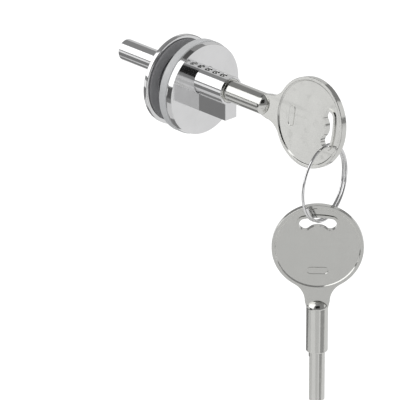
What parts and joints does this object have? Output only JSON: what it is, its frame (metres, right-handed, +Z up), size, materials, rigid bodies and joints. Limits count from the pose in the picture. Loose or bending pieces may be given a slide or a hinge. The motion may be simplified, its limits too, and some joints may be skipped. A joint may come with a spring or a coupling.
{
  "type": "sliding glass cabinet lock",
  "caption": "Lock for sliding glass doors: two roses clamp the pane, a removable keyhole-shaped barrel carries a rear rod, and two keys hang on a split ring.",
  "frame": {"origin": "centre of the pane's hole, on the pane's front surface", "axes": "+Y through the pane towards the rear, along the roses' axis; +Z up; +X to the right seen from the key's side"},
  "size_m": [0.0308, 0.1004, 0.1012],
  "materials": {
    "polished_chrome": "mirror polished",
    "satin_nickel": "satin nickel plate",
    "ring_steel": "polished spring wire",
    "plain_steel": "bright zinc plate",
    "brass": "turned",
    "pale_plastic": "smooth translucent",
    "dark_pad": "smooth"
  },
  "bodies": {
    "housing": {"front_rose": "polished_chrome", "front_washer": "pale_plastic", "rear_washer": "dark_pad", "rear_rose": "polished_chrome", "clamp_screw_left": "plain_steel", "clamp_screw_right": "plain_steel"},
    "cylinder": {"lock_barrel": "polished_chrome", "spring_cover": "brass", "driver_pin_1": "plain_steel", "driver_pin_2": "plain_steel", "driver_pin_3": "plain_steel", "driver_pin_4": "plain_steel", "driver_pin_5": "plain_steel", "chamber_spring_1": "plain_steel", "chamber_spring_2": "plain_steel", "chamber_spring_3": "plain_steel", "chamber_spring_4": "plain_steel", "chamber_spring_5": "plain_steel"},
    "core": {"plug_core": "satin_nickel", "key_pin_1": "brass", "key_pin_2": "brass", "key_pin_3": "brass", "key_pin_4": "brass", "key_pin_5": "brass", "locking_cam": "plain_steel", "plunger_rod": "polished_chrome", "rod_pin": "plain_steel"},
    "inserted_key": {"working_key": "satin_nickel"},
    "ring": {"key_ring": "ring_steel"},
    "hanging_key": {"spare_key": "satin_nickel"}
  },
  "joints": [
    {"name": "cylinder_pull", "type": "slide", "parent": "housing", "child": "cylinder", "axis": [0, -1, 0], "range_m": [0, 0.04]},
    {"name": "plug_turn", "type": "hinge", "parent": "cylinder", "child": "core", "pos_m": [0, 0, 0.0029], "axis": [0, -1, 0], "range_deg": [0, 90]},
    {"name": "key_withdraw", "type": "slide", "parent": "core", "child": "inserted_key", "axis": [0, -1, 0], "range_m": [0, 0.018]},
    {"name": "ring_swing", "type": "hinge", "parent": "inserted_key", "child": "ring", "pos_m": [-0.00059, -0.05833, -0.00188], "axis": [0.9744, 0.225, 0], "range_deg": [-60, 30]},
    {"name": "spare_swing", "type": "hinge", "parent": "ring", "child": "hanging_key", "pos_m": [-0.00546, -0.05945, -0.02496], "axis": [0.9744, 0.225, 0], "range_deg": [-40, 40]}
  ]
}
